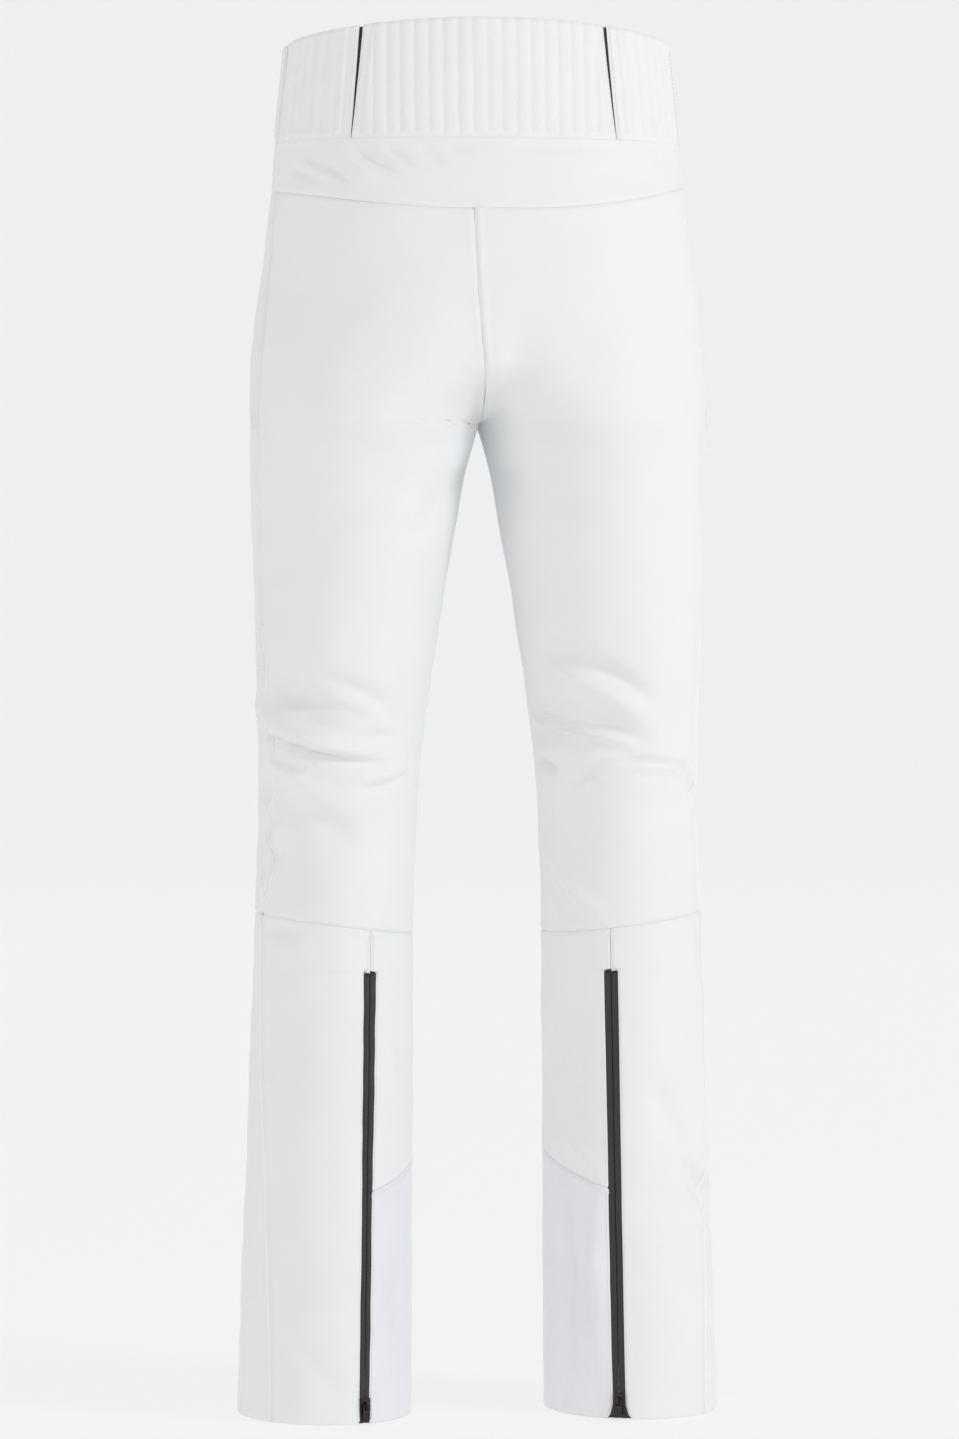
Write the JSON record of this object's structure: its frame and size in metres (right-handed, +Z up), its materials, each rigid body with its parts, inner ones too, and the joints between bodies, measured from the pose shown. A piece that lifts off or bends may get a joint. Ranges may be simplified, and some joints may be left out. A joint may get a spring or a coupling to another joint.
{
  "type": "ski pants",
  "caption": "Stretch ski pants with a high channelled waistband, calf zips with gaiters inside, and a front fly.",
  "frame": {"origin": "On the floor, midway between the two hems, below the middle of the garment's depth.", "axes": "+X to the wearer's left, +Y to the back, +Z up from the hems to the waist."},
  "size_m": [0.3832, 0.2341, 1.094],
  "materials": {
    "shell_fabric": "white four-way-stretch softshell, fine twill, soft matt with a faint sheen",
    "rib_fabric": "white stretch fabric stitched into narrow upright channels",
    "guard_fabric": "smooth cool-white coated reinforcement cloth",
    "lining_fabric": "pale grey brushed lining",
    "gaiter_fabric": "thin off-white ripstop",
    "elastic_webbing": "woven gripper elastic, light grey",
    "vent_mesh": "black stretch gusset cloth, matt",
    "zip_tape": "black woven zip tape with a smooth coating",
    "zip_coil": "black nylon coil",
    "zip_metal": "black enamelled zinc, semi-gloss",
    "snap_metal": "satin grey enamelled brass",
    "hook_steel": "bent steel strip"
  },
  "bodies": {
    "garment": {"boot_hook_left": "hook_steel", "boot_hook_right": "hook_steel", "calf_coil_outer_left": "zip_coil", "calf_coil_outer_right": "zip_coil", "calf_outer_left": "shell_fabric", "calf_outer_right": "shell_fabric", "calf_tape_outer_left": "zip_tape", "calf_tape_outer_right": "zip_tape", "calf_zip_stop_left": "zip_metal", "calf_zip_stop_right": "zip_metal", "fly_coil_left": "zip_coil", "fly_coil_right": "zip_coil", "fly_guard": "lining_fabric", "fly_stop": "zip_metal", "fly_tape_left": "zip_tape", "fly_tape_right": "zip_tape", "front_thigh_left": "shell_fabric", "front_thigh_right": "shell_fabric", "gaiter_elastic_left": "elastic_webbing", "gaiter_elastic_right": "elastic_webbing", "gaiter_left": "gaiter_fabric", "gaiter_right": "gaiter_fabric", "hanger_loop_left": "lining_fabric", "hanger_loop_right": "lining_fabric", "knee_left": "shell_fabric", "knee_right": "shell_fabric", "seat_left": "shell_fabric", "seat_right": "shell_fabric", "shin_left": "shell_fabric", "shin_right": "shell_fabric", "snap_stud": "snap_metal", "vent_back_left": "vent_mesh", "vent_back_right": "vent_mesh", "vent_side_left": "vent_mesh", "vent_side_right": "vent_mesh", "waist_facing": "lining_fabric", "waistband_back": "rib_fabric", "waistband_front_left": "rib_fabric", "waistband_front_right": "rib_fabric", "waistband_side_left": "rib_fabric", "waistband_side_right": "rib_fabric", "yoke_back": "shell_fabric", "yoke_front_left": "shell_fabric", "yoke_front_right": "shell_fabric"},
    "calf_flap_left": {"calf_inner_left": "shell_fabric", "scuff_guard_left": "guard_fabric", "calf_tape_inner_left": "zip_tape", "calf_coil_inner_left": "zip_coil"},
    "calf_slider_left": {"calf_slider_left": "zip_metal"},
    "calf_pull_left": {"calf_pull_left": "zip_metal"},
    "calf_flap_right": {"calf_inner_right": "shell_fabric", "scuff_guard_right": "guard_fabric", "calf_tape_inner_right": "zip_tape", "calf_coil_inner_right": "zip_coil"},
    "calf_slider_right": {"calf_slider_right": "zip_metal"},
    "calf_pull_right": {"calf_pull_right": "zip_metal"},
    "fly_slider": {"fly_slider": "zip_metal"},
    "fly_pull": {"fly_pull": "zip_metal"},
    "waist_tab": {"waist_tab": "shell_fabric", "snap_cap": "snap_metal"}
  },
  "joints": [
    {"name": "calf_flap_left", "type": "hinge", "parent": "garment", "child": "calf_flap_left", "pos_m": [0.0528, 0, 0], "axis": [-0.0052, 0, 1], "range_deg": [0, 30], "deforming": ["calf_tape_inner_left", "calf_coil_inner_left"]},
    {"name": "calf_zip_left", "type": "slide", "parent": "garment", "child": "calf_slider_left", "axis": [-0.0165, -0.0201, 0.9997], "range_m": [0, 0.324]},
    {"name": "calf_pull_left", "type": "hinge", "parent": "calf_slider_left", "child": "calf_pull_left", "pos_m": [0.09915, 0.08505, 0.01483], "axis": [0.9163, 0.3998, 0.0232], "range_deg": [0, 150]},
    {"name": "calf_flap_right", "type": "hinge", "parent": "garment", "child": "calf_flap_right", "pos_m": [-0.0528, 0, 0], "axis": [-0.0052, 0, -1], "range_deg": [0, 30], "deforming": ["calf_tape_inner_right", "calf_coil_inner_right"]},
    {"name": "calf_zip_right", "type": "slide", "parent": "garment", "child": "calf_slider_right", "axis": [0.0165, -0.0201, 0.9997], "range_m": [0, 0.324]},
    {"name": "calf_pull_right", "type": "hinge", "parent": "calf_slider_right", "child": "calf_pull_right", "pos_m": [-0.09915, 0.08505, 0.01483], "axis": [0.9163, -0.3998, -0.0232], "range_deg": [0, 150]},
    {"name": "fly_zip", "type": "slide", "parent": "garment", "child": "fly_slider", "axis": [0, -0.0621, -0.9981], "range_m": [0, 0.125]},
    {"name": "fly_pull", "type": "hinge", "parent": "fly_slider", "child": "fly_pull", "pos_m": [0, -0.11023, 0.9887], "axis": [-1, 0, 0], "range_deg": [0, 150]},
    {"name": "waist_tab", "type": "hinge", "parent": "garment", "child": "waist_tab", "pos_m": [-0.0262, -0.1036, 1.035], "axis": [0, -0.0614, -0.9981], "range_deg": [0, 60]}
  ],
  "couplings": [
    {"joint": "calf_zip_left", "follows": "calf_flap_left", "m_per_rad": 0.6188},
    {"joint": "calf_zip_right", "follows": "calf_flap_right", "m_per_rad": 0.6188}
  ]
}
